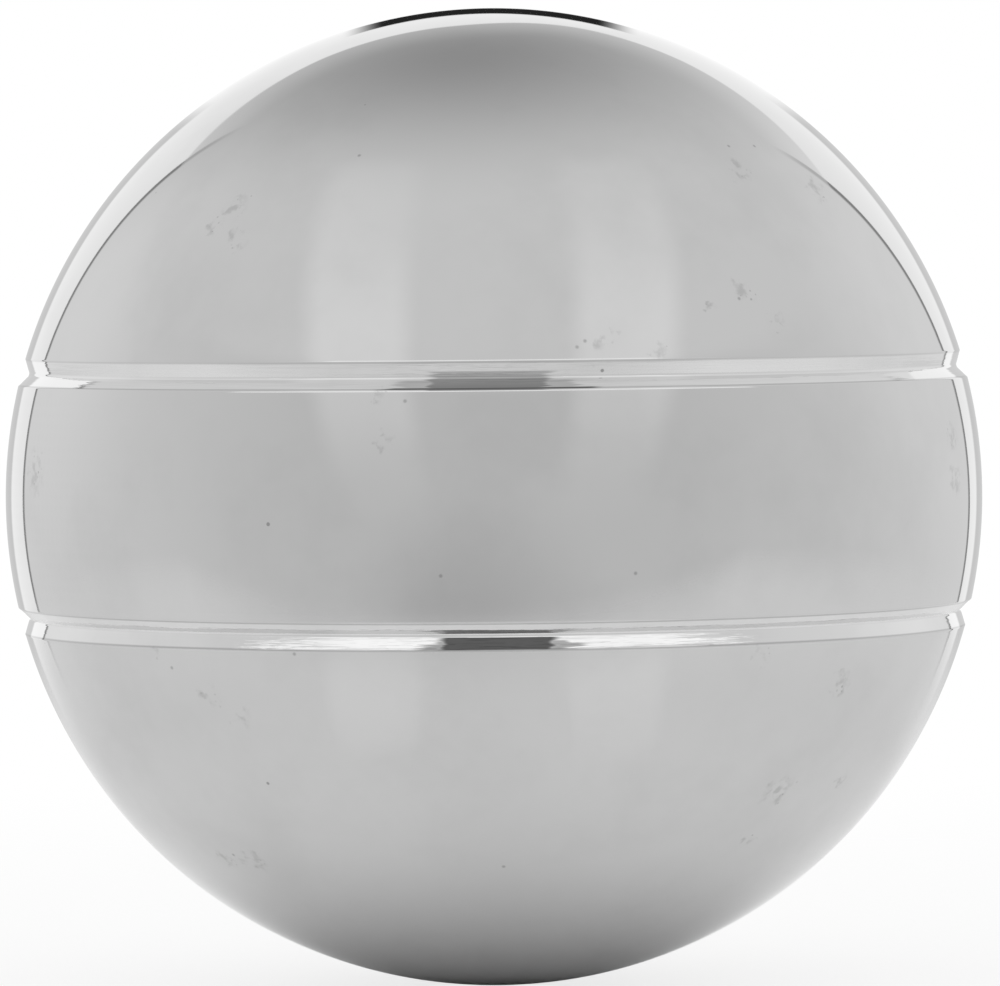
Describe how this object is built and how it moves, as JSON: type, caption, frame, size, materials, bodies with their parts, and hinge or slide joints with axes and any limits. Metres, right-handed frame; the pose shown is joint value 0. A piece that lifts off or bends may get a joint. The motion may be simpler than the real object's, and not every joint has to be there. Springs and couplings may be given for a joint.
{
  "type": "petanque ball",
  "caption": "Hollow chromed steel throwing ball with a shallow V-shaped groove turned above and below its middle band.",
  "frame": {"origin": "centre of the ball", "axes": "+Z along the axis that the grooves run round; X and Y are alike"},
  "size_m": [0.073, 0.073, 0.073],
  "materials": {
    "chromed_steel": "polished"
  },
  "bodies": {
    "root": {"ball": "chromed_steel"}
  },
  "joints": []
}
